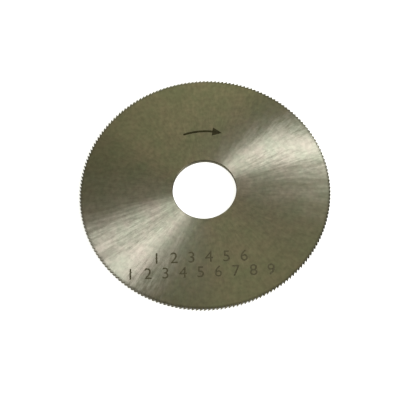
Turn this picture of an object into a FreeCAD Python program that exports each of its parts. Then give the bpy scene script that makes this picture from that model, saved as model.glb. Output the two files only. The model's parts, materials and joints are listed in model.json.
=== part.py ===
import FreeCAD, Part
import math
import os
import Sketcher

# A fine-tooth metal slitting saw: one disc of hardened tool steel, hollow ground on both sides.
# It lies flat. The origin is the middle of its resting side, +Z is the bore's axis, and it cuts
# clockwise as seen from above.

# Driving sizes in millimetres, angles in degrees, and the tooth count as a plain number
SIZES = {
    "tip_diameter": 50.0,  # over the cutting edges
    "rim_thickness": 1.0,  # across the two flat margins, which is the width of the slot it saws
    "bore_diameter": 12.7,  # a half-inch arbor
    "bore_chamfer": 0.1,  # broken edge on both mouths of the bore
    "margin_width": 1.2,  # flat ring inside the cutting circle, on both sides
    "hollow_depth": 0.03,  # how far each side is ground below its margin at the bore
    "tooth_count": 200,
    "tooth_depth": 0.4,  # from the cutting circle to the bottom of the gullet
    "gullet_radius": 0.08,
    "rake_angle": 5.0,  # undercut of the tooth's face
    "land_width": 0.1,  # relieved top of the tooth, behind its cutting edge
    "land_relief": 12.0,  # fall of that land away from the cutting circle
    "blank_stock": 0.02,  # on the turned blank's radius, taken off again with the tooth gaps
    "cutter_overrun": 0.05,  # how far the tooth-gap cut reaches beyond the blank
}
FULL_TURN = 360
QUARTER_TURN = 90

# The gullet's arc is cut in this many flats, which stay within 0.003 mm of it and are light to draw
GULLET_FLATS = 4

# Ends of a sketch edge, and the sketch's own origin, as constraints number them
START, END, CENTRE = 1, 2, 3
ORIGIN = (-1, START)
HORIZONTAL_AXIS = -1


def driving_sheet(doc):
    """Keeps every driving size in a spreadsheet cell that goes by the size's own name."""
    sheet = doc.addObject("Spreadsheet::Sheet", "sizes")
    for row, (name, value) in enumerate(SIZES.items(), start=1):
        sheet.set(f"A{row}", name)
        sheet.set(f"B{row}", str(value))
        sheet.setAlias(f"B{row}", name)
    doc.recompute()
    return sheet


def new_sketch(body, name, plane_role):
    """Adds an empty sketch on one of the body's own base planes."""
    plane = next(item for item in body.Origin.OriginFeatures if item.Role == plane_role)
    sketch = body.newObject("Sketcher::SketchObject", name)
    sketch.AttachmentSupport = [(plane, "")]
    sketch.MapMode = "FlatFace"
    return sketch


def straight(start, end):
    """A straight sketch edge between two points."""
    return Part.LineSegment(FreeCAD.Vector(*start), FreeCAD.Vector(*end))


def rule(sketch, kind, *references):
    """Adds a geometric constraint that needs no size."""
    return sketch.addConstraint(Sketcher.Constraint(kind, *references))


def size(sketch, name, expression, kind, *references):
    """Adds a named dimension and ties it to the spreadsheet."""
    index = sketch.addConstraint(Sketcher.Constraint(kind, *references))
    sketch.renameConstraint(index, name)
    sketch.setExpression(f"Constraints.{name}", expression)


def place(sketch, name, expression, kind, edge, end):
    """Ties how far across (DistanceX) or up (DistanceY) from the origin a sketch point lies."""
    point = sketch.getPoint(edge, end)
    value = point.x if kind == "DistanceX" else point.y
    size(sketch, name, expression, kind, *ORIGIN, edge, end, value)


def draw_section(body, sheet):
    """Half the blank's section: a flat margin at the rim, then a shallow hollow down to the bore."""
    rim = sheet.tip_diameter / 2 + sheet.blank_stock
    margin = sheet.tip_diameter / 2 - sheet.margin_width
    wall = sheet.bore_diameter / 2
    mouth = wall + sheet.bore_chamfer
    top = sheet.rim_thickness
    corners = [
        (rim, 0),
        (rim, top),
        (margin, top),
        (mouth, top - sheet.hollow_depth),
        (wall, top - sheet.hollow_depth - sheet.bore_chamfer),
        (wall, sheet.hollow_depth + sheet.bore_chamfer),
        (mouth, sheet.hollow_depth),
        (margin, 0),
    ]
    sketch = new_sketch(body, "blank_section", "XZ_Plane")
    loop = sketch.addGeometry([straight(*ends) for ends in zip(corners, corners[1:] + corners[:1])])
    for edge, following in zip(loop, loop[1:] + loop[:1]):
        rule(sketch, "Coincident", edge, END, following, START)

    rim_edge, top_margin, top_hollow, _, wall_edge, low_chamfer, _, low_margin = loop
    rule(sketch, "PointOnObject", rim_edge, START, HORIZONTAL_AXIS)
    for upright in (rim_edge, wall_edge):
        rule(sketch, "Vertical", upright)
    for level in (top_margin, low_margin):
        rule(sketch, "Horizontal", level)

    rim_size = "sizes.tip_diameter / 2 + sizes.blank_stock"
    margin_size = "sizes.tip_diameter / 2 - sizes.margin_width"
    mouth_size = "sizes.bore_diameter / 2 + sizes.bore_chamfer"
    place(sketch, "rim", rim_size, "DistanceX", rim_edge, END)
    place(sketch, "top_margin", margin_size, "DistanceX", top_margin, END)
    place(sketch, "low_margin", margin_size, "DistanceX", low_margin, START)
    place(sketch, "top_mouth", mouth_size, "DistanceX", top_hollow, END)
    place(sketch, "low_mouth", mouth_size, "DistanceX", low_chamfer, END)
    place(sketch, "wall", "sizes.bore_diameter / 2", "DistanceX", wall_edge, START)

    low_wall_size = "sizes.hollow_depth + sizes.bore_chamfer"
    place(sketch, "thickness", "sizes.rim_thickness", "DistanceY", rim_edge, END)
    place(sketch, "top_hollow", "sizes.rim_thickness - sizes.hollow_depth", "DistanceY", top_hollow, END)
    place(sketch, "low_hollow", "sizes.hollow_depth", "DistanceY", low_chamfer, END)
    place(sketch, "top_wall", f"sizes.rim_thickness - ({low_wall_size})", "DistanceY", wall_edge, START)
    place(sketch, "low_wall", low_wall_size, "DistanceY", wall_edge, END)
    return sketch


def turn_blank(body, section):
    """Turns the section once round the bore's axis."""
    blank = body.newObject("PartDesign::Revolution", "blank")
    blank.Profile = section
    blank.ReferenceAxis = (section, ["V_Axis"])
    blank.Angle = FULL_TURN
    section.Visibility = False
    return blank


def draw_tooth_gap(body, sheet):
    """One gap in plan: the next tooth's face, the gullet, then this tooth's back and relieved land.

    This tooth's cutting edge is on the X axis and the next one's a pitch further round. The face and
    the land run on past the blank, where the neighbouring gaps cross them and leave sharp edges.
    """
    tip_radius = sheet.tip_diameter / 2
    outside = tip_radius + sheet.blank_stock + sheet.cutter_overrun
    pitch = math.radians(FULL_TURN / sheet.tooth_count)
    face_slope = pitch - math.radians(sheet.rake_angle)
    relief = math.radians(sheet.land_relief)

    tip = FreeCAD.Vector(tip_radius, 0)
    next_tip = FreeCAD.Vector(tip_radius * math.cos(pitch), tip_radius * math.sin(pitch))
    along_land = FreeCAD.Vector(-math.sin(relief), math.cos(relief))
    heel = tip + along_land * sheet.land_width
    land_end = tip + along_land * ((outside - tip.x) / along_land.x)
    up_face = FreeCAD.Vector(math.cos(face_slope), math.sin(face_slope))
    off_face = FreeCAD.Vector(up_face.y, -up_face.x)
    face_end = next_tip + up_face * ((outside - next_tip.x) / up_face.x)

    # The gullet's centre is one gullet radius off the face, and so far above the root circle
    centre_radius = tip_radius - sheet.tooth_depth + sheet.gullet_radius
    level_start = next_tip + off_face * sheet.gullet_radius
    along = level_start.dot(up_face)
    drop = along - math.sqrt(along**2 - level_start.dot(level_start) + centre_radius**2)
    centre = level_start - up_face * drop
    face_foot = next_tip - up_face * drop
    heel_to_centre = centre - heel
    back_slope = math.atan2(heel_to_centre.y, heel_to_centre.x)
    back_slope += math.asin(sheet.gullet_radius / heel_to_centre.Length)
    back_length = math.sqrt(heel_to_centre.Length**2 - sheet.gullet_radius**2)
    back_foot = heel + FreeCAD.Vector(math.cos(back_slope), math.sin(back_slope)) * back_length
    face_turn = math.atan2(face_foot.y - centre.y, face_foot.x - centre.x)
    back_turn = math.atan2(back_foot.y - centre.y, back_foot.x - centre.x) + 2 * math.pi
    circle = Part.Circle(centre, FreeCAD.Vector(0, 0, 1), sheet.gullet_radius)
    flat_turn = (face_turn - back_turn) / GULLET_FLATS
    corners = [circle.value(back_turn + step * flat_turn) for step in range(GULLET_FLATS + 1)]

    sketch = new_sketch(body, "tooth_gap_plan", "XY_Plane")
    outer_edge, land_edge, back_edge, face_edge, *flats = sketch.addGeometry(
        [
            Part.LineSegment(face_end, land_end),
            Part.LineSegment(land_end, heel),
            Part.LineSegment(heel, back_foot),
            Part.LineSegment(face_foot, face_end),
            *[Part.LineSegment(start, end) for start, end in zip(corners, corners[1:])],
        ]
    )
    middle = FreeCAD.Vector(0, 0)
    ray, next_ray, gullet_arc = sketch.addGeometry(
        [
            Part.LineSegment(middle, tip),
            Part.LineSegment(middle, next_tip),
            Part.ArcOfCircle(circle, face_turn, back_turn),
        ],
        True,
    )
    rule(sketch, "Coincident", outer_edge, END, land_edge, START)
    rule(sketch, "Coincident", land_edge, END, back_edge, START)
    rule(sketch, "Tangent", back_edge, END, gullet_arc, END)
    rule(sketch, "Tangent", gullet_arc, START, face_edge, START)
    rule(sketch, "Coincident", face_edge, END, outer_edge, START)
    rule(sketch, "Coincident", flats[0], START, back_edge, END)
    rule(sketch, "Coincident", flats[-1], END, face_edge, START)
    for flat, following in zip(flats, flats[1:]):
        rule(sketch, "Coincident", flat, END, following, START)
        rule(sketch, "PointOnObject", flat, END, gullet_arc)
        rule(sketch, "Equal", flat, following)
    rule(sketch, "Coincident", ray, START, *ORIGIN)
    rule(sketch, "Coincident", next_ray, START, *ORIGIN)
    rule(sketch, "PointOnObject", ray, END, HORIZONTAL_AXIS)
    rule(sketch, "PointOnObject", ray, END, land_edge)
    rule(sketch, "PointOnObject", next_ray, END, face_edge)

    pitch_size = f"{FULL_TURN} deg / sizes.tooth_count"
    face_size = f"{pitch_size} - sizes.rake_angle * 1 deg"
    land_size = f"{QUARTER_TURN} deg + sizes.land_relief * 1 deg"
    size(sketch, "pitch", pitch_size, "Angle", next_ray, pitch)
    size(sketch, "face_slope", face_size, "Angle", face_edge, face_slope)
    size(sketch, "land_slope", land_size, "Angle", land_edge, math.pi / 2 + relief)

    outside_size = "sizes.tip_diameter / 2 + sizes.blank_stock + sizes.cutter_overrun"
    centre_size = "sizes.tip_diameter / 2 - sizes.tooth_depth + sizes.gullet_radius"
    place(sketch, "tip", "sizes.tip_diameter / 2", "DistanceX", ray, END)
    place(sketch, "land_end", outside_size, "DistanceX", land_edge, START)
    place(sketch, "face_end", outside_size, "DistanceX", face_edge, END)
    size(sketch, "next_tip", "sizes.tip_diameter / 2", "Distance", next_ray, tip_radius)
    size(sketch, "centre", centre_size, "Distance", *ORIGIN, gullet_arc, CENTRE, centre_radius)
    size(sketch, "gullet", "sizes.gullet_radius", "Radius", gullet_arc, sheet.gullet_radius)
    size(sketch, "land", "sizes.land_width", "Distance", ray, END, land_edge, END, sheet.land_width)
    return sketch


def cut_teeth(body, plan):
    """Cuts one gap through the blank, then the same gap at every pitch round it."""
    gap = body.newObject("PartDesign::Pocket", "tooth_gap")
    gap.Profile = plan
    gap.Type = "ThroughAll"
    gap.SideType = "Symmetric"
    plan.Visibility = False
    body.Document.recompute()
    teeth = body.newObject("PartDesign::PolarPattern", "teeth")
    teeth.Originals = [gap]
    teeth.Axis = (plan, ["N_Axis"])
    teeth.Angle = FULL_TURN
    teeth.setExpression("Occurrences", "sizes.tooth_count")
    body.Tip = teeth
    return gap, teeth


def make_saw_blade(doc, sheet):
    """The whole blade is one piece: a turned blank with its teeth cut in the rim."""
    body = doc.addObject("PartDesign::Body", "saw_blade")
    body.Label = "saw_blade"
    blank = turn_blank(body, draw_section(body, sheet))
    gap, teeth = cut_teeth(body, draw_tooth_gap(body, sheet))
    doc.recompute()
    one_gap = blank.Shape.Volume - gap.Shape.Volume
    all_gaps = blank.Shape.Volume - teeth.Shape.Volume
    print(f"blank {blank.Shape.Volume:.2f} mm3, one gap {one_gap:.4f} mm3, all gaps {all_gaps:.3f} mm3")
    if one_gap <= 0 or all_gaps <= one_gap:
        raise RuntimeError("the tooth gaps cut nothing")
    return body


def check(doc, pieces):
    """Stops before anything is written if an object failed or a piece isn't one sound solid."""
    for item in doc.Objects:
        if "Invalid" in item.State or "Error" in item.State:
            raise RuntimeError(f"{item.Label} failed: {item.State}")
    for piece in pieces:
        if piece.Shape.isNull() or not piece.Shape.isValid() or len(piece.Shape.Solids) != 1:
            raise RuntimeError(f"{piece.Label} isn't one valid solid")


def write(pieces):
    """Writes each piece to a STEP file that has its label for a name."""
    os.makedirs("parts", exist_ok=True)
    for piece in pieces:
        piece.Shape.exportStep(os.path.join("parts", f"{piece.Label}.step"))
        box = piece.Shape.BoundBox
        print(f"{piece.Label}: {box.XLength:.3f} x {box.YLength:.3f} x {box.ZLength:.3f} mm,")
        print(f"{piece.Shape.Volume:.2f} mm3, {len(piece.Shape.Faces)} faces")


model = FreeCAD.newDocument("saw_blade")
model_pieces = [make_saw_blade(model, driving_sheet(model))]
check(model, model_pieces)
write(model_pieces)
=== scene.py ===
# %% [markdown]
# # A ground slitting saw on a white table
# The object is one thin disc of hardened tool steel: a plain bore, two hollow-ground sides and fine
# teeth all round the rim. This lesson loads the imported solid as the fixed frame, rebuilds its surface
# as one tooth's wedge repeated round the bore, and gives it the finish that a grinding wheel leaves.
# Everything is in metres, in the solid's own frame: +Z is the bore's axis and the blade lies on z = 0.
# The frame's record says how wide and thick the solid is and how wide its bore, so those come from it.

import json
import math

import bpy
import numpy as np
from mathutils import Matrix, Vector


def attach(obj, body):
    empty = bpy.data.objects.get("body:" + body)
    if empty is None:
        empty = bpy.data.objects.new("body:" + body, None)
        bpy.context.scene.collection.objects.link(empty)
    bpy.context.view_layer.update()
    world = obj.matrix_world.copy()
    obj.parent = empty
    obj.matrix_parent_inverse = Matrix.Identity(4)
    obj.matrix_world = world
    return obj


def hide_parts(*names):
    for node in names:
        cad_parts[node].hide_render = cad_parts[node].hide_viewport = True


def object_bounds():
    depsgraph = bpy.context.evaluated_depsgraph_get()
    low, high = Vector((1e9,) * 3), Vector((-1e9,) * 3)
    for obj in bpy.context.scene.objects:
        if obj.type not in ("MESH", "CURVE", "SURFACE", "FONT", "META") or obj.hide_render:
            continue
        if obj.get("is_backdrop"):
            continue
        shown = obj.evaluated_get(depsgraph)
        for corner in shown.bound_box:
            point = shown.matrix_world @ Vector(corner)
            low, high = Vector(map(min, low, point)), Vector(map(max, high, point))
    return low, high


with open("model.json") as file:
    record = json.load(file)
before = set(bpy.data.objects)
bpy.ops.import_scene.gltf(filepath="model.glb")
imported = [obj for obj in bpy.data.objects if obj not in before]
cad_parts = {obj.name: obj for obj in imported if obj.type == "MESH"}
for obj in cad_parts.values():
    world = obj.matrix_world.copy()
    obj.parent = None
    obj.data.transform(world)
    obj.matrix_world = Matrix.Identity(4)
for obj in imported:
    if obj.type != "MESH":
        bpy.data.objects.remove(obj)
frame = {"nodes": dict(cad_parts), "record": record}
cad_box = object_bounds()

MM = 0.001
record = frame["record"]
TIP_RADIUS, THICKNESS = record["size"]["bbox_m"][0] / 2, record["size"]["bbox_m"][2]
BORE_RADIUS = next(mount["dims"]["r_mm"] for mount in record["mounts"] if mount["kind"] == "bore") * MM
print("node:", *frame["nodes"], "tip, bore and thickness in mm:",
      *(round(size / MM, 2) for size in (TIP_RADIUS, BORE_RADIUS, THICKNESS)))

# %% [markdown]
# ## Helpers
# Node trees are long to write by hand, so one small function adds a node with its settings and links.
# A Mix node has several sockets of one name, so they go by number: 2 and 3 mix plain numbers, 4 and 5
# vectors, 6 and 7 colours. Colours are written as sRGB hex values, and one function turns them into
# the linear numbers that a renderer works with.

# %% Adding a node, and reading a colour
def add(tree, kind, inputs=None, **settings):
    """Adds a node. inputs maps a socket's name or number to a plain value or to another node's output."""
    made = tree.nodes.new(kind)
    made.location = (220 * len(tree.nodes), 0)
    for name, value in settings.items():
        setattr(made, name, value)
    for key, value in (inputs or {}).items():
        if isinstance(value, bpy.types.NodeSocket):
            tree.links.new(value, made.inputs[key])
        else:
            made.inputs[key].default_value = value
    return made


def emptied(block):
    """Turns on the nodes of a material or world, takes out those it starts with, and returns its tree."""
    block.use_nodes = True
    block.node_tree.nodes.clear()
    return block.node_tree


def linear(hex_colour):
    """An sRGB colour such as "c0c0c0" as linear red, green, blue and alpha."""
    shares = [int(hex_colour[i:i + 2], 16) / 255 for i in (0, 2, 4)]
    return [c / 12.92 if c <= 0.04045 else ((c + 0.055) / 1.055) ** 2.4 for c in shares] + [1.0]


print("mid grey in linear light:", round(linear("808080")[0], 3))

# %% [markdown]
# ## Geometry node trees
# A tree that builds a piece takes its sizes as named inputs, so that each can be found and changed in
# the modifier. The inputs are set by their identifiers before the object is first evaluated. The
# evaluated result is then kept as a plain mesh and the modifier is taken off, because what is exported
# holds meshes only. A printed count of open edges shows at once whether a skin is closed.

# %% Making a tree and keeping its result
SOCKETS = {float: "NodeSocketFloat", int: "NodeSocketInt", str: "NodeSocketString"}


def new_tree(name, sizes):
    """A geometry tree with one geometry in and out, and a named input for each size."""
    tree = bpy.data.node_groups.new(name, "GeometryNodeTree")
    tree.is_modifier = True
    tree.interface.new_socket("Geometry", in_out="INPUT", socket_type="NodeSocketGeometry")
    for size, value in sizes.items():
        tree.interface.new_socket(size, in_out="INPUT", socket_type=SOCKETS[type(value)])
    tree.interface.new_socket("Geometry", in_out="OUTPUT", socket_type="NodeSocketGeometry")
    print("tree", name, "with inputs", ", ".join(sizes) or "none")
    return tree, add(tree, "NodeGroupInput").outputs


def grow(name, tree, sizes, start=None):
    """Runs the tree on a start mesh, and keeps what it makes as a plain mesh object at the origin."""
    seed = bpy.data.objects.new(name + "_seed", start or bpy.data.meshes.new(name + "_start"))
    bpy.context.scene.collection.objects.link(seed)
    modifier = seed.modifiers.new("tree", "NODES")
    modifier.node_group = tree
    for item in tree.interface.items_tree:
        if item.in_out == "INPUT" and item.name in sizes:
            modifier[item.identifier] = sizes[item.name]
    grown = seed.evaluated_get(bpy.context.evaluated_depsgraph_get())
    mesh = bpy.data.meshes.new_from_object(grown)
    bpy.data.objects.remove(seed)
    mesh.name = name
    piece = bpy.data.objects.new(name, mesh)
    bpy.context.scene.collection.objects.link(piece)
    return piece


def describe(piece):
    """Prints a piece's triangles, open edges and volume: a closed skin that faces out has more than 0."""
    mesh = piece.data
    mesh.calc_loop_triangles()
    edges = np.zeros(len(mesh.loops), int)
    mesh.loops.foreach_get("edge_index", edges)
    open_edges = int((np.bincount(edges, minlength=len(mesh.edges)) != 2).sum())
    corners = np.array([v.co for v in mesh.vertices])
    threes = np.array([t.vertices for t in mesh.loop_triangles])
    a, b, c = (corners[threes[:, i]] for i in range(3))
    volume = (a * np.cross(b, c)).sum() / 6 / MM ** 3
    print(f"{piece.name}: {len(threes)} triangles, {open_edges} open edges, {volume:.4f} mm3")


print("input types:", *(kind.__name__ for kind in SOCKETS))

# %% [markdown]
# ## The camera
# The blade is seen from above at about 66 degrees with a long lens, tilted a little to one side and
# aimed just short of the bore. A camera is easiest to set by where it aims, how far away it stands, and
# its azimuth, elevation and roll, so those are the named values and the matrix follows from them.

# %% Camera
AIM = Vector((-0.93, -2.37, 1.0)) * MM
DISTANCE = 189.2 * MM
AZIMUTH, ELEVATION, ROLL = (math.radians(degrees) for degrees in (3.5, 65.83, -5.52))
LENS, SENSOR = 85.98, 36

back = Vector((
    math.sin(AZIMUTH) * math.cos(ELEVATION),
    -math.cos(AZIMUTH) * math.cos(ELEVATION),
    math.sin(ELEVATION),
))
right = Vector((math.cos(AZIMUTH), math.sin(AZIMUTH), 0))
facing = Matrix((right, back.cross(right), back)).transposed() @ Matrix.Rotation(ROLL, 3, "Z")

camera_data = bpy.data.cameras.new("camera")
camera_data.sensor_width = SENSOR
camera_data.lens = LENS
camera_data.clip_start = 10 * MM
camera = bpy.data.objects.new("camera", camera_data)
camera.matrix_world = Matrix.Translation(AIM + back * DISTANCE) @ facing.to_4x4()
bpy.context.scene.collection.objects.link(camera)
bpy.context.scene.camera = camera
bpy.context.scene.view_settings.view_transform = "Standard"
print("camera at", [round(c / MM, 1) for c in camera.location], "mm")

# %% [markdown]
# ## The room
# A ground steel face shows what it mirrors, so the room matters more than any lamp. This one is a white
# horizon, level with the table, under a dim warm room with a few paler walls. Each wall is a smooth step
# along X or Y of the direction that is looked in, and the walls' light adds up. The palest is ahead on
# the right, which is why the blade is lighter at its top right than at its left. The camera itself sees
# plain white there, so that the blade stands against white from every side.

# %% Room
ROOM_TINT = (1.044, 1.019, 0.600)
WALLS = (
    ("ceiling", 0.032, ()),
    ("ahead", 0.115, (("Y", 0.25, 0.6),)),
    ("ahead on the right", 0.379, (("Y", 0.25, 0.6), ("X", -0.25, 0.25))),
    ("behind", 0.115, (("Y", 0.1, -0.5),)),
    ("far left", 0.329, (("X", -0.3, -0.8),)),
)
HORIZON_ENDS, ROOM_BEGINS = 0.03, 0.2
WHITE = (1, 1, 1, 1)

world = bpy.data.worlds.new("room")
bpy.context.scene.world = world
room = emptied(world)
looked_in = add(room, "ShaderNodeTexCoord").outputs["Generated"]
looked_in = add(room, "ShaderNodeSeparateXYZ", {0: looked_in}).outputs
light = 0.0
for _, brightness, steps in WALLS:
    share = brightness
    for axis, begins, full in steps:
        rise = add(room, "ShaderNodeMapRange", {
            "Value": looked_in[axis], "From Min": begins, "From Max": full},
            interpolation_type="SMOOTHSTEP").outputs["Result"]
        share = add(room, "ShaderNodeMath", {0: rise, 1: share}, operation="MULTIPLY").outputs[0]
    light = add(room, "ShaderNodeMath", {0: light, 1: share}, operation="ADD").outputs[0]
light = add(room, "ShaderNodeVectorMath", {0: ROOM_TINT, "Scale": light}, operation="SCALE").outputs[0]
above = add(room, "ShaderNodeMapRange", {
    "Value": looked_in["Z"], "From Min": HORIZON_ENDS, "From Max": ROOM_BEGINS},
    interpolation_type="SMOOTHSTEP").outputs["Result"]
light = add(room, "ShaderNodeMix", {0: above, 6: WHITE, 7: light}, data_type="RGBA").outputs[2]
by_eye = add(room, "ShaderNodeLightPath").outputs["Is Camera Ray"]
light = add(room, "ShaderNodeMix", {0: by_eye, 6: light, 7: WHITE}, data_type="RGBA").outputs[2]
light = add(room, "ShaderNodeBackground", {"Color": light, "Strength": 1.0}).outputs[0]
add(room, "ShaderNodeOutputWorld", {"Surface": light})
print("walls:", ", ".join(wall for wall, _, _ in WALLS))

# %% [markdown]
# ## The lamp
# One round soft lamp stands at the right. Each patch of the face has grooves that run another way, and
# it catches the lamp only where its grooves turn that light to the eye. That is what draws the two
# bright fans on a ground disc, so the lamp's bearing decides where the fans lie.

# %% Lamp
LAMP_AZIMUTH, LAMP_ELEVATION = math.radians(-21.3), math.radians(52.9)
LAMP_DISTANCE, LAMP_RADIUS = 0.50, 0.044
LAMP_WATTS = 1.3

lamp_data = bpy.data.lights.new("round_lamp", "AREA")
lamp_data.shape = "DISK"
lamp_data.size = 2 * LAMP_RADIUS
lamp_data.energy = LAMP_WATTS
lamp = bpy.data.objects.new("round_lamp", lamp_data)
towards = Vector((
    math.cos(LAMP_AZIMUTH) * math.cos(LAMP_ELEVATION),
    math.sin(LAMP_AZIMUTH) * math.cos(LAMP_ELEVATION),
    math.sin(LAMP_ELEVATION),
))
lamp.location = towards * LAMP_DISTANCE
lamp.rotation_euler = towards.to_track_quat("Z", "Y").to_euler()
bpy.context.scene.collection.objects.link(lamp)
print("lamp at", [round(c, 3) for c in lamp.location], "m")

# %% [markdown]
# ## The table
# The blade lies on plain white paper that is lit to pure white. Turning up a lamp to get there would
# burn out the steel too, so the paper glows a little for the eye and for mirrored rays only, and it
# keeps the soft shadow that the blade casts on it. It lies a hair below the blade, because two faces in
# one plane would flicker.

# %% Matt white paper
PAPER_GLOW = 0.85
TABLE_HALF = 2.0
TABLE_GAP = 0.02 * MM

paper = bpy.data.materials.new("matt_white_paper")
t = emptied(paper)
matt = add(t, "ShaderNodeBsdfDiffuse", {"Color": linear("f2f2f0")}).outputs[0]
ray = add(t, "ShaderNodeLightPath").outputs
seen = ray["Is Camera Ray"]
for mirrored in ("Is Glossy Ray", "Is Transmission Ray"):
    seen = add(t, "ShaderNodeMath", {0: seen, 1: ray[mirrored]}, operation="ADD").outputs[0]
glow = add(t, "ShaderNodeMath", {0: seen, 1: PAPER_GLOW}, operation="MULTIPLY").outputs[0]
glow = add(t, "ShaderNodeEmission", {"Color": WHITE, "Strength": glow}).outputs[0]
both = add(t, "ShaderNodeAddShader", {0: matt, 1: glow}).outputs[0]
add(t, "ShaderNodeOutputMaterial", {"Surface": both})

table_mesh = bpy.data.meshes.new("table_top")
table_mesh.from_pydata(
    [(x * TABLE_HALF, y * TABLE_HALF, -TABLE_GAP) for x, y in ((-1, -1), (1, -1), (1, 1), (-1, 1))],
    [], [(0, 1, 2, 3)])
table_mesh.materials.append(paper)
table_top = bpy.data.objects.new("table_top", table_mesh)
bpy.context.scene.collection.objects.link(table_top)
table_top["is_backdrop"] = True
print("table top", 2 * TABLE_HALF, "m wide,", TABLE_GAP / MM, "mm below the blade")

# %% [markdown]
# ## Ground high-speed steel
# The blade is high-speed steel, hardened and then ground on both sides by the rim of a wheel that swept
# across the turning disc. Each grain of the wheel left a groove that runs out from the bore in a wide
# arc. Such a face is smooth along its grooves and rough across them, so it draws a lamp out into two
# fans of light. Real grooves are micrometres wide, far finer than a pixel, so they aren't modelled: the
# shader's anisotropy stands for all of them, with its tangent laid across them. What that needs at each
# point is its place in millimetres, its distance from the bore's axis, and the direction outward.

# %% Where a point lies on the disc
TIP_MM, BORE_MM = TIP_RADIUS / MM, BORE_RADIUS / MM
SIDE_FACES_UP = 0.9

steel = bpy.data.materials.new("ground_high_speed_steel")
t = emptied(steel)
place = add(t, "ShaderNodeTexCoord").outputs
in_mm = add(t, "ShaderNodeVectorMath", {0: place["Object"], "Scale": 1 / MM}, operation="SCALE").outputs[0]
in_plan = add(t, "ShaderNodeVectorMath", {0: in_mm, 1: (1, 1, 0)}, operation="MULTIPLY").outputs[0]
radius = add(t, "ShaderNodeVectorMath", {0: in_plan}, operation="LENGTH").outputs["Value"]
outward = add(t, "ShaderNodeVectorMath", {0: in_plan}, operation="NORMALIZE").outputs[0]
upright = add(t, "ShaderNodeSeparateXYZ", {0: place["Normal"]}).outputs["Z"]
upright = add(t, "ShaderNodeMath", {0: upright}, operation="ABSOLUTE").outputs[0]
on_side = add(t, "ShaderNodeMath", {0: upright, 1: SIDE_FACES_UP}, operation="GREATER_THAN").outputs[0]
print("the ground face is", round(TIP_MM - BORE_MM, 2), "mm wide")

# %% [markdown]
# ## Streaks
# Some grains of the wheel cut deeper than others, so the grooves lie in faint bundles that the eye sees
# as streaks out from the bore. A noise that is looked up by direction as well as by distance does that:
# it changes quickly from one bearing to the next, and slowly on the way out. A bundle is drawn about
# 0.7 mm wide at the rim, with finer ones in it down to a tenth of that, as coarse as it needs to show.
# A second, broad noise stands for the slow wandering of the whole wheel.

# %% Streaks that run out from the bore
STREAK_WIDTH_MM = 0.735
STREAK_LENGTH_MM = 3.85
STREAK_SEED = 149.2
WANDER_SCALE = 0.11

fan_out = add(t, "ShaderNodeVectorMath", {
    0: outward, "Scale": TIP_MM / STREAK_WIDTH_MM}, operation="SCALE").outputs[0]
way_out = add(t, "ShaderNodeMath", {
    0: radius, 1: 1 / STREAK_LENGTH_MM, 2: STREAK_SEED}, operation="MULTIPLY_ADD").outputs[0]
way_out = add(t, "ShaderNodeCombineXYZ", {"Z": way_out}).outputs[0]
streak_place = add(t, "ShaderNodeVectorMath", {0: fan_out, 1: way_out}, operation="ADD").outputs[0]
streak = add(t, "ShaderNodeTexNoise", {
    "Vector": streak_place, "Scale": 1.0, "Detail": 4.0, "Roughness": 0.7}).outputs[0]
wander = add(t, "ShaderNodeTexNoise", {
    "Vector": streak_place, "Scale": WANDER_SCALE, "Detail": 1.0}).outputs[0]
print("streaks across the whole turn:", round(2 * math.pi * TIP_MM / STREAK_WIDTH_MM))

# %% [markdown]
# ## Direction of the grooves
# A groove is an arc of the wheel's rim that passes through the bore's axis, so its angle to the outward
# direction is the arcsine of the distance over the wheel's diameter, and grows on the way out. No
# machine sweeps just the same way all round: a curve over the bearing says by how many degrees the
# sweeps leaned, which gives the fans their uneven edges. The two noises add what differs from bundle to
# bundle. The walls of the bore and of the teeth were cut along the axis, so their tangent is Z.

# %% How far the sweeps leaned
SWEEP_LEAN = (
    (0, -6), (10, -8), (20, -4), (30, -5), (60, 0), (180, 0),
    (205, 4), (220, -9), (240, -2), (260, -4), (345, 2),
)
LEAN_SPAN = 90

flat = add(t, "ShaderNodeSeparateXYZ", {0: outward}).outputs
turn = add(t, "ShaderNodeMath", {0: flat["Y"], 1: flat["X"]}, operation="ARCTAN2").outputs[0]
turn = add(t, "ShaderNodeMath", {0: turn, 1: 1 / (2 * math.pi)}, operation="MULTIPLY").outputs[0]
turn = add(t, "ShaderNodeMath", {0: turn}, operation="FRACT").outputs[0]
lean_curve = add(t, "ShaderNodeFloatCurve", {"Value": turn})
lean_curve.mapping.use_clip = False
full_turn = SWEEP_LEAN + ((360, SWEEP_LEAN[0][1]),)
first, *between, last = [(bearing / 360, 0.5 + lean / LEAN_SPAN) for bearing, lean in full_turn]
knots = lean_curve.mapping.curves[0].points
knots[0].location, knots[1].location = first, last
for knot in between:
    knots.new(*knot)
lean_curve.mapping.update()
swept = add(t, "ShaderNodeMapRange", {
    "Value": lean_curve.outputs[0],
    "To Min": math.radians(-LEAN_SPAN / 2), "To Max": math.radians(LEAN_SPAN / 2)}, clamp=False).outputs[0]
print("the sweeps lean by", min(lean for _, lean in SWEEP_LEAN), "to", max(lean for _, lean in SWEEP_LEAN))

# %% Turning outward to across the grooves
WHEEL_MM = 84.0
STREAK_TURN, WANDER_TURN = 0.2, 0.17

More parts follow.
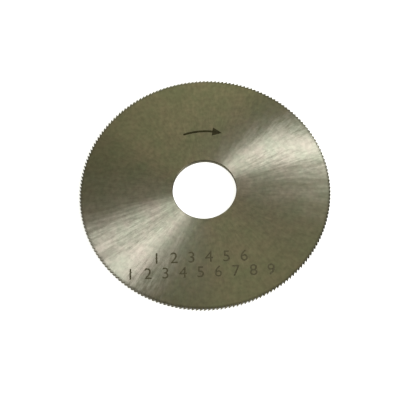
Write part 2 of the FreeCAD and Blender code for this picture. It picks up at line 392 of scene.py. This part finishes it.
arc = add(t, "ShaderNodeMath", {0: radius, 1: 1 / WHEEL_MM}, operation="MULTIPLY").outputs[0]
arc = add(t, "ShaderNodeMath", {0: arc}, operation="ARCSINE").outputs[0]
angle = add(t, "ShaderNodeMath", {0: arc, 1: math.pi / 2}, operation="ADD").outputs[0]
angle = add(t, "ShaderNodeMath", {0: angle, 1: swept}, operation="ADD").outputs[0]
for noise, most in ((streak, STREAK_TURN), (wander, WANDER_TURN)):
    part = add(t, "ShaderNodeMapRange", {"Value": noise, "To Min": -most, "To Max": most}, clamp=False)
    angle = add(t, "ShaderNodeMath", {0: angle, 1: part.outputs[0]}, operation="ADD").outputs[0]
across = add(t, "ShaderNodeVectorRotate", {"Vector": outward, "Angle": angle}, rotation_type="Z_AXIS")
grain = add(t, "ShaderNodeMix", {0: on_side, 4: (0, 0, 1), 5: across.outputs[0]}, data_type="VECTOR")
grain = add(t, "ShaderNodeVectorTransform", {0: grain.outputs[1]}, vector_type="VECTOR",
            convert_from="OBJECT", convert_to="WORLD").outputs[0]
print("a groove leans by", round(math.degrees(math.asin(TIP_MM / WHEEL_MM)), 1), "degrees at the rim")

# %% [markdown]
# ## Colour of the steel
# Ground tool steel is a warm light grey. A film of oil mottles it in patches of a few millimetres, the
# streaks and a fine grit of broken-out grains break it up, and a few dark specks of dirt lie on it. The
# face's colour is painted brighter towards the bore, as painted light, and darker in a ring at the teeth,
# as painted shade. The walls of the bore and the teeth are cut, not ground, and dull, and their dark
# colour is partly painted shade. Each of these is a factor or a mix of its own, so that one can be
# changed without the others.

# %% Mottling, streaks, grit, painted light towards the bore and painted shade at the teeth
MOTTLE_MM, GRIT_MM = 5.0, 0.8
STREAK_CONTRAST, GRIT_CONTRAST = 0.08, 0.3
# Painted light: the steel's colour is raised towards the bore and fades out towards the rim.
BORE_PAINTED_LIGHT, RIM_PAINTED_LIGHT = 1.13, 1.01
# Painted shade: a ring at the teeth is darkened in the colour, for the shade that lies on the teeth at the
# rim.
PAINTED_SHADE_RING_MM, PAINTED_SHADE_RING_GAIN = (24.3, 24.7), 0.65

mottle = add(t, "ShaderNodeTexNoise", {
    "Vector": in_mm, "Scale": 1 / MOTTLE_MM, "Detail": 4.0, "Roughness": 0.7}).outputs[0]
mottle = add(t, "ShaderNodeMapRange", {"Value": mottle, "From Min": 0.35, "From Max": 0.65}).outputs[0]
body = add(t, "ShaderNodeMix", {0: mottle, 6: linear("c0c2b1"), 7: linear("cdc4b8")}, data_type="RGBA")
grit = add(t, "ShaderNodeTexNoise", {"Vector": in_mm, "Scale": 1 / GRIT_MM, "Detail": 3.0}).outputs[0]
by_noise = (
    {"Value": streak, "From Min": 0.2, "From Max": 0.8,
     "To Min": 1 - STREAK_CONTRAST, "To Max": 1 + STREAK_CONTRAST},
    {"Value": grit, "To Min": 1 - GRIT_CONTRAST, "To Max": 1 + GRIT_CONTRAST},
)
# Painted light and shade by distance from the axis: brighter towards the bore, darker in a ring at the
# teeth.
painted_light_and_shade_by_radius = (
    {"Value": radius, "From Min": BORE_MM, "From Max": TIP_MM, "To Min": BORE_PAINTED_LIGHT, "To Max": RIM_PAINTED_LIGHT},
    {"Value": radius, "From Min": PAINTED_SHADE_RING_MM[0], "From Max": PAINTED_SHADE_RING_MM[1],
     "To Min": 1.0, "To Max": PAINTED_SHADE_RING_GAIN},
)
body = body.outputs[2]
for gains, held_at_ends in ((by_noise, False), (painted_light_and_shade_by_radius, True)):
    for gain in gains:
        gain = add(t, "ShaderNodeMapRange", gain, clamp=held_at_ends).outputs[0]
        body = add(t, "ShaderNodeVectorMath", {0: body, "Scale": gain}, operation="SCALE").outputs[0]
print("factors on the steel's colour:", len(by_noise) + len(painted_light_and_shade_by_radius))

# %% Specks, and the dark walls, partly painted shade
SPECK_MM, SPECK_SHARE = 4.0, 0.14
SPECK_CORE, SPECK_EDGE, SPECK_DEPTH = 0.03, 0.07, 0.45

cells = add(t, "ShaderNodeTexVoronoi", {"Vector": in_mm, "Scale": 1 / SPECK_MM}).outputs
chosen = add(t, "ShaderNodeSeparateXYZ", {0: cells["Color"]}).outputs["X"]
chosen = add(t, "ShaderNodeMath", {0: chosen, 1: 1 - SPECK_SHARE}, operation="GREATER_THAN").outputs[0]
speck = add(t, "ShaderNodeMapRange", {
    "Value": cells["Distance"], "From Min": SPECK_CORE, "From Max": SPECK_EDGE,
    "To Min": SPECK_DEPTH, "To Max": 0.0}).outputs[0]
speck = add(t, "ShaderNodeMath", {0: speck, 1: chosen}, operation="MULTIPLY").outputs[0]
body = add(t, "ShaderNodeMix", {0: speck, 6: body, 7: linear("3a3628")}, data_type="RGBA").outputs[2]
# The walls' dark colour is partly their dull cut finish and partly painted shade on the rim and bore walls.
colour = add(t, "ShaderNodeMix", {0: on_side, 6: linear("6b6757"), 7: body}, data_type="RGBA").outputs[2]
print("a speck is", round(2 * SPECK_EDGE * SPECK_MM, 2), "mm wide")

# %% [markdown]
# ## Gloss of the steel
# Near the bore the arcs run together and cross, so the face there is rougher and the fans are broad and
# soft. Towards the rim they part, the face is smoother, and the fans are bright. The streaks differ a
# little in gloss too. The last trace of the grooves is a very shallow bump, so that the light in the
# fans breaks up along them. Steel stays a metal with its default index of refraction, and the strong
# anisotropy is a constant on the shader itself.

# %% The steel's shader
ROUGH_MM, ROUGH, SMOOTH, WALL_ROUGH = 9.0, 0.67, 0.44, 0.5
ANISOTROPY = 0.889
GLOSS_CONTRAST = 0.1
GROOVE_DEPTH, GROOVE_STRENGTH = 0.02 * MM, 0.08

satin = add(t, "ShaderNodeMapRange", {
    "Value": radius, "From Min": ROUGH_MM, "From Max": TIP_MM, "To Min": ROUGH, "To Max": SMOOTH}).outputs[0]
clean = add(t, "ShaderNodeTexNoise", {"Vector": streak_place, "Scale": 2.0, "Detail": 2.0}).outputs[0]
clean = add(t, "ShaderNodeMapRange", {
    "Value": clean, "From Min": 0.3, "From Max": 0.7,
    "To Min": 1 + GLOSS_CONTRAST, "To Max": 1 - GLOSS_CONTRAST}).outputs[0]
satin = add(t, "ShaderNodeMath", {0: satin, 1: clean}, operation="MULTIPLY").outputs[0]
satin = add(t, "ShaderNodeMix", {0: on_side, 2: WALL_ROUGH, 3: satin}, data_type="FLOAT").outputs[0]
grooves = add(t, "ShaderNodeTexNoise", {"Vector": streak_place, "Scale": 6.0, "Detail": 2.0}).outputs[0]
grooves = add(t, "ShaderNodeBump", {
    "Height": grooves, "Strength": GROOVE_STRENGTH, "Distance": GROOVE_DEPTH}).outputs[0]
metal = add(t, "ShaderNodeBsdfPrincipled", {
    "Base Color": colour, "Metallic": 1.0, "Roughness": satin, "Anisotropic": ANISOTROPY,
    "Normal": grooves, "Tangent": grain}).outputs[0]
add(t, "ShaderNodeOutputMaterial", {"Surface": metal})
print(steel.name, "has", len(t.nodes), "nodes")

# %% [markdown]
# ## One tooth
# Each tooth has an undercut face, a rounded gullet, a straight back and a short relieved land that ends
# in the cutting edge. Its outline in plan could be drawn by eye, but then the gullet would miss the
# lines that it should touch. So it is worked out as in the solid: the gullet's centre lies beside the
# face at the root's depth, and the back is the line from the land's heel that touches the gullet. The
# gullet is four flats, because there are two hundred of them.

# %% One tooth in plan
TEETH = 200
PITCH = 2 * math.pi / TEETH
TOOTH_DEPTH = 0.4 * MM
LAND_WIDTH = 0.1 * MM
GULLET_RADIUS = 0.08 * MM
GULLET_FLATS = 4
RAKE, RELIEF = math.radians(5), math.radians(12)


def polar(length, angle):
    """A step of that length in that direction, in plan."""
    return Vector((length * math.cos(angle), length * math.sin(angle)))


def tooth_outline():
    """The tip, the heel of its land, the back, the gullet's flats and the next tip."""
    tip, next_tip = polar(TIP_RADIUS, 0), polar(TIP_RADIUS, PITCH)
    heel = tip + polar(LAND_WIDTH, math.pi / 2 + RELIEF)
    up_face = PITCH - RAKE
    level = next_tip + polar(GULLET_RADIUS, up_face - math.pi / 2)
    along = level.dot(polar(1, up_face))
    root = TIP_RADIUS - TOOTH_DEPTH + GULLET_RADIUS
    drop = along - math.sqrt(along ** 2 - level.length_squared + root ** 2)
    centre, foot = level - polar(drop, up_face), next_tip - polar(drop, up_face)
    away = centre - heel
    back_slope = math.atan2(away.y, away.x) + math.asin(GULLET_RADIUS / away.length)
    back_foot = heel + polar(math.sqrt(away.length_squared - GULLET_RADIUS ** 2), back_slope)
    start = math.atan2(back_foot.y - centre.y, back_foot.x - centre.x) + 2 * math.pi
    swing = math.atan2(foot.y - centre.y, foot.x - centre.x) - start
    flats = [centre + polar(GULLET_RADIUS, start + swing * i / GULLET_FLATS) for i in range(1, GULLET_FLATS)]
    return [tip, heel, back_foot, *flats, foot, next_tip]


outline = tooth_outline()
links = [(i, i + 1) for i in range(len(outline) - 1)]
tooth_mesh = bpy.data.meshes.new("tooth_outline")
tooth_mesh.from_pydata([(*point, 0) for point in outline], links, [])
deepest = TIP_RADIUS - min(point.length for point in outline)
print("tooth depth", round(deepest / MM, 3), "mm over", len(outline), "points")

# %% [markdown]
# ## The blade
# Two hundred equal teeth are one tooth repeated. The tree takes the tooth's outline, carries it over the
# margin, down the hollow side, through the bore and back along the underside by extruding its edges from
# one station to the next, and then instances that wedge round the bore. Joining the wedges' touching
# edges gives one closed skin with the same form as the solid. At the stations inside the rim the points
# leave the tooth's outline for evenly spaced spokes, a third of a step round from the tip, so that no
# face there is a sliver.

# %% Where a point of the outline goes at the inner stations
BLADE_SIZES = {
    "Teeth": TEETH,
    "Thickness": THICKNESS,
    "Margin radius": 23.8 * MM,
    "Mouth radius": BORE_RADIUS + 0.1 * MM,
    "Bore radius": BORE_RADIUS,
    "Hollow depth": 0.03 * MM,
    "Chamfer": 0.1 * MM,
}
SPOKE_LEAD = 1 / 3

tree, given = new_tree("toothed_disc", BLADE_SIZES)
pitch = add(tree, "ShaderNodeMath", {0: 2 * math.pi, 1: given["Teeth"]}, operation="DIVIDE").outputs[0]
number = add(tree, "GeometryNodeInputIndex").outputs[0]
step = add(tree, "ShaderNodeMath", {0: number, 1: 1 / len(links), 2: SPOKE_LEAD}, operation="MULTIPLY_ADD")
bearing = add(tree, "ShaderNodeMath", {0: step.outputs[0], 1: pitch}, operation="MULTIPLY").outputs[0]
spoke = add(tree, "ShaderNodeVectorRotate", {"Vector": (1, 0, 0), "Angle": bearing}, rotation_type="Z_AXIS")
plan = add(tree, "GeometryNodeInputPosition")
kept = add(tree, "GeometryNodeCaptureAttribute", {"Geometry": given["Geometry"]}, domain="POINT")
for label, source in (("spoke", spoke), ("plan", plan)):
    kept.capture_items.new("VECTOR", label)
    tree.links.new(source.outputs[0], kept.inputs[label])
print("spokes in each wedge:", len(outline))

# %% The skin of one wedge, from the rim's top round through the bore to the rim's foot
low_edge = given["Hollow depth"]
flat_top = given["Thickness"]
mouth_edge = add(tree, "ShaderNodeMath", {0: low_edge, 1: given["Chamfer"]}, operation="ADD").outputs[0]
high_edge = add(tree, "ShaderNodeMath", {0: flat_top, 1: low_edge}, operation="SUBTRACT").outputs[0]
bore_edge = add(tree, "ShaderNodeMath", {0: flat_top, 1: mouth_edge}, operation="SUBTRACT").outputs[0]
STATIONS = (
    (None, flat_top),
    (given["Margin radius"], flat_top),
    (given["Mouth radius"], high_edge),
    (given["Bore radius"], bore_edge),
    (given["Bore radius"], mouth_edge),
    (given["Mouth radius"], low_edge),
    (given["Margin radius"], 0.0),
    (None, 0.0),
    (None, flat_top),
)

skin, edge = kept.outputs["Geometry"], True
for place_number, (station_radius, station_height) in enumerate(STATIONS):
    if place_number > 0:
        drawn = add(tree, "GeometryNodeExtrudeMesh", {
            "Mesh": skin, "Selection": edge, "Offset Scale": 0.0}, mode="EDGES").outputs
        skin, edge = drawn["Mesh"], drawn["Top"]
    lift = add(tree, "ShaderNodeCombineXYZ", {"Z": station_height}).outputs[0]
    if station_radius is None:
        spot = add(tree, "ShaderNodeVectorMath", {0: kept.outputs["plan"], 1: lift}, operation="ADD")
    else:
        spot = add(tree, "ShaderNodeVectorMath", {
            0: kept.outputs["spoke"], 1: station_radius, 2: lift}, operation="MULTIPLY_ADD")
    skin = add(tree, "GeometryNodeSetPosition", {
        "Geometry": skin, "Selection": edge, "Position": spot.outputs[0]}).outputs[0]
print("stations round the section:", len(STATIONS))

# %% The wedge repeated round the bore, and closed
SHARP_EDGE = math.radians(15)
WELD = 0.001 * MM

centres = add(tree, "GeometryNodePoints", {"Count": given["Teeth"]}).outputs[0]
number = add(tree, "GeometryNodeInputIndex").outputs[0]
turn = add(tree, "ShaderNodeMath", {0: number, 1: pitch}, operation="MULTIPLY").outputs[0]
turn = add(tree, "ShaderNodeCombineXYZ", {"Z": turn}).outputs[0]
turn = add(tree, "FunctionNodeEulerToRotation", {0: turn}).outputs[0]
ring = add(tree, "GeometryNodeInstanceOnPoints", {"Points": centres, "Instance": skin, "Rotation": turn})
solid = add(tree, "GeometryNodeRealizeInstances", {0: ring.outputs[0]}).outputs[0]
solid = add(tree, "GeometryNodeMergeByDistance", {"Geometry": solid, "Distance": WELD}).outputs[0]
solid = add(tree, "GeometryNodeFlipFaces", {0: solid}).outputs[0]
fold = add(tree, "GeometryNodeInputMeshEdgeAngle").outputs[0]
gentle = add(tree, "ShaderNodeMath", {0: fold, 1: SHARP_EDGE}, operation="LESS_THAN").outputs[0]
for domain, smooth in (("FACE", True), ("EDGE", gentle)):
    solid = add(tree, "GeometryNodeSetShadeSmooth", {
        "Geometry": solid, "Shade Smooth": smooth}, domain=domain).outputs[0]
solid = add(tree, "GeometryNodeSetMaterial", {"Geometry": solid, "Material": steel}).outputs[0]
add(tree, "NodeGroupOutput", {0: solid})

blade = grow("ground_blade", tree, BLADE_SIZES, tooth_mesh)
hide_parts("saw_blade")
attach(blade, "root")
describe(blade)

# %% [markdown]
# ## The marks
# The upper side carries a plain mark for the direction of rotation and two rows of numerals, as on a
# dial. On such blades marks are drawn by a laser, which leaves a dark, dull skin of oxide a few
# micrometres thick. It is patchy, because the beam's strength wavers, and the rows are drawn more
# lightly than the rotation mark.

# %% Laser-darkened steel
PATCH_MM = 0.5
OXIDE_ROUGHNESS = 0.6


def darkened_steel(name, thin, thick):
    """A patchy skin of oxide on steel. thin and thick are its colours where it is thinnest and thickest."""
    oxide = bpy.data.materials.new(name)
    t = emptied(oxide)
    place = add(t, "ShaderNodeTexCoord").outputs["Object"]
    patchy = add(t, "ShaderNodeTexNoise", {"Vector": place, "Scale": 1 / (PATCH_MM * MM), "Detail": 3.0})
    patchy = add(t, "ShaderNodeMapRange", {"Value": patchy.outputs[0], "From Min": 0.3, "From Max": 0.7})
    shade = add(t, "ShaderNodeMix", {
        0: patchy.outputs[0], 6: linear(thin), 7: linear(thick)}, data_type="RGBA").outputs[2]
    dull = add(t, "ShaderNodeBsdfPrincipled", {
        "Base Color": shade, "Metallic": 1.0, "Roughness": OXIDE_ROUGHNESS}).outputs[0]
    add(t, "ShaderNodeOutputMaterial", {"Surface": dull})
    return oxide


deep_oxide = darkened_steel("laser_darkened_steel", "605c48", "484535")
faint_oxide = darkened_steel("lightly_darkened_steel", "847f6c", "686452")
print("marks:", deep_oxide.name, faint_oxide.name)

# %% [markdown]
# ## Laying a drawing on the hollow face
# A mark could be painted into the steel's colour, but it would lose its crisp edge there. So it is a
# plate some micrometres thick that follows the hollow face. The face is a very flat cone, so the height
# of a point is its distance from the axis times a slope. One group of nodes lays any flat drawing on
# the face and thickens it, a little into the steel and a little out of it, and both marks use it.

# %% Laying a flat drawing on the hollow face
SKIN_PROUD, SKIN_SUNK = 0.005 * MM, 0.003 * MM
MARK_WELD = 0.0005 * MM
face_width = BLADE_SIZES["Margin radius"] - BLADE_SIZES["Mouth radius"]
SLOPE = BLADE_SIZES["Hollow depth"] / face_width
CONE_FOOT = THICKNESS - SLOPE * BLADE_SIZES["Margin radius"] - SKIN_SUNK

lay = bpy.data.node_groups.new("lay_on_hollow_face", "GeometryNodeTree")
lay.interface.new_socket("Geometry", in_out="INPUT", socket_type="NodeSocketGeometry")
lay.interface.new_socket("Geometry", in_out="OUTPUT", socket_type="NodeSocketGeometry")
drawing = add(lay, "NodeGroupInput").outputs[0]
spot = add(lay, "GeometryNodeInputPosition").outputs[0]
spot = add(lay, "ShaderNodeVectorMath", {0: spot, 1: (1, 1, 0)}, operation="MULTIPLY").outputs[0]
out = add(lay, "ShaderNodeVectorMath", {0: spot}, operation="LENGTH").outputs["Value"]
level = add(lay, "ShaderNodeMath", {0: out, 1: SLOPE, 2: CONE_FOOT}, operation="MULTIPLY_ADD").outputs[0]
level = add(lay, "ShaderNodeCombineXYZ", {"Z": level}).outputs[0]
spot = add(lay, "ShaderNodeVectorMath", {0: spot, 1: level}, operation="ADD").outputs[0]
laid = add(lay, "GeometryNodeSetPosition", {"Geometry": drawing, "Position": spot}).outputs[0]
raised = add(lay, "GeometryNodeExtrudeMesh", {
    "Mesh": laid, "Offset": (0, 0, 1), "Offset Scale": SKIN_PROUD + SKIN_SUNK, "Individual": False},
    mode="FACES").outputs[0]
under = add(lay, "GeometryNodeFlipFaces", {0: laid}).outputs[0]
plate = add(lay, "GeometryNodeJoinGeometry")
for part in (under, raised):
    lay.links.new(part, plate.inputs[0])
plate = add(lay, "GeometryNodeMergeByDistance", {"Geometry": plate.outputs[0], "Distance": MARK_WELD})
add(lay, "NodeGroupOutput", {0: plate.outputs[0]})
print("the face falls by", round(math.degrees(math.atan(SLOPE)), 2), "degrees towards the bore")


def end_tree(tree, drawing, oxide):
    """Lays the drawing on the face, and ends the tree with its oxide."""
    laid = add(tree, "GeometryNodeGroup", {0: drawing}, node_tree=lay).outputs[0]
    laid = add(tree, "GeometryNodeRealizeInstances", {0: laid}).outputs[0]
    laid = add(tree, "GeometryNodeSetMaterial", {"Geometry": laid, "Material": oxide}).outputs[0]
    add(tree, "NodeGroupOutput", {0: laid})


def keep_mark(name, tree, sizes):
    """Keeps a mark as a piece of its own that lies on the blade."""
    mark = grow(name, tree, sizes)
    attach(mark, "root")
    describe(mark)


# %% [markdown]
# ## The rotation mark
# The mark is an arc round the bore that ends in a pointed head, and tells which way the blade turns. It
# is a straight strip of squares whose width is set by how far each point is from the tip: the line's
# width along the shaft, and a taper in the head. The strip is then bent round the bore. Made so, the
# line and the head are one clean outline, with no joint between them.

# %% The rotation mark
ARROW_SIZES = {
    "Arc radius": 13.0 * MM,
    "Length": 8.0 * MM,
    "Head length": 2.0 * MM,
    "Line width": 0.45 * MM,
    "Head width": 1.9 * MM,
}
ARROW_STEPS = 149

tree, given = new_tree("rotation_mark", ARROW_SIZES)
strip = add(tree, "GeometryNodeMeshGrid", {
    "Size X": 1.0, "Size Y": 1.0, "Vertices X": ARROW_STEPS, "Vertices Y": 2})
spot = add(tree, "GeometryNodeInputPosition").outputs[0]
spot = add(tree, "ShaderNodeSeparateXYZ", {0: spot}).outputs
to_tip = add(tree, "ShaderNodeMath", {0: 0.5, 1: spot["X"]}, operation="SUBTRACT").outputs[0]
to_tip = add(tree, "ShaderNodeMath", {0: to_tip, 1: given["Length"]}, operation="MULTIPLY").outputs[0]
in_head = add(tree, "ShaderNodeMath", {0: to_tip, 1: given["Head length"]}, operation="LESS_THAN").outputs[0]
taper = add(tree, "ShaderNodeMath", {0: to_tip, 1: given["Head length"]}, operation="DIVIDE").outputs[0]
taper = add(tree, "ShaderNodeMath", {0: taper, 1: given["Head width"]}, operation="MULTIPLY").outputs[0]
width = add(tree, "GeometryNodeSwitch", {
    0: in_head, 1: given["Line width"], 2: taper}, input_type="FLOAT").outputs[0]
from_axis = add(tree, "ShaderNodeMath", {
    0: spot["Y"], 1: width, 2: given["Arc radius"]}, operation="MULTIPLY_ADD").outputs[0]
angle = add(tree, "ShaderNodeMath", {0: spot["X"], 1: given["Length"]}, operation="MULTIPLY").outputs[0]
angle = add(tree, "ShaderNodeMath", {0: angle, 1: given["Arc radius"]}, operation="DIVIDE").outputs[0]
angle = add(tree, "ShaderNodeMath", {0: math.pi / 2, 1: angle}, operation="SUBTRACT").outputs[0]
bent = add(tree, "ShaderNodeVectorRotate", {"Vector": (1, 0, 0), "Angle": angle}, rotation_type="Z_AXIS")
bent = add(tree, "ShaderNodeVectorMath", {0: bent.outputs[0], "Scale": from_axis}, operation="SCALE")
bent = add(tree, "GeometryNodeSetPosition", {"Geometry": strip.outputs[0], "Position": bent.outputs[0]})
bent = add(tree, "GeometryNodeMergeByDistance", {"Geometry": bent.outputs[0], "Distance": MARK_WELD})
end_tree(tree, bent.outputs[0], deep_oxide)
keep_mark("rotation_mark", tree, ARROW_SIZES)

# %% [markdown]
# ## The numerals
# Below the bore stand two rows of plain numerals. Text objects would do, but a String to Curves node
# keeps the rows' words, size and place as inputs of one tree, so both rows come from it. The curves are
# filled to flat faces, moved to their row and laid on the face like the rotation mark.

# %% Two rows of numerals below the bore
ROWS = (
    ("upper", "1 2 3 4 5 6", -14.5 * MM),
    ("lower", "1 2 3 4 5 6 7 8 9", -17.55 * MM),
)
NUMERAL_SIZES = {"Size": 3.2 * MM, "Word gap": 2.0, "Middle X": -1.2 * MM, "Middle Y": 0.0, "Numerals": ""}

tree, given = new_tree("row_of_numerals", NUMERAL_SIZES)
written = add(tree, "GeometryNodeStringToCurves", {
    "String": given["Numerals"], "Size": given["Size"], "Word Spacing": given["Word gap"]},
    align_x="CENTER", align_y="MIDDLE").outputs[0]
written = add(tree, "GeometryNodeRealizeInstances", {0: written}).outputs[0]
filled = add(tree, "GeometryNodeFillCurve", {"Curve": written}, mode="TRIANGLES").outputs[0]
middle = add(tree, "ShaderNodeCombineXYZ", {"X": given["Middle X"], "Y": given["Middle Y"]}).outputs[0]
filled = add(tree, "GeometryNodeSetPosition", {"Geometry": filled, "Offset": middle}).outputs[0]
end_tree(tree, filled, faint_oxide)
for row, numerals, middle_y in ROWS:
    keep_mark("numerals_" + row, tree, {**NUMERAL_SIZES, "Numerals": numerals, "Middle Y": middle_y})

# %% The boxes of the solid and of the new pieces
new_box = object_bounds()
for label, box in (("solid", cad_box), ("visual", new_box)):
    print(label, "box in mm:", *([round(c / MM, 3) for c in corner] for corner in box))
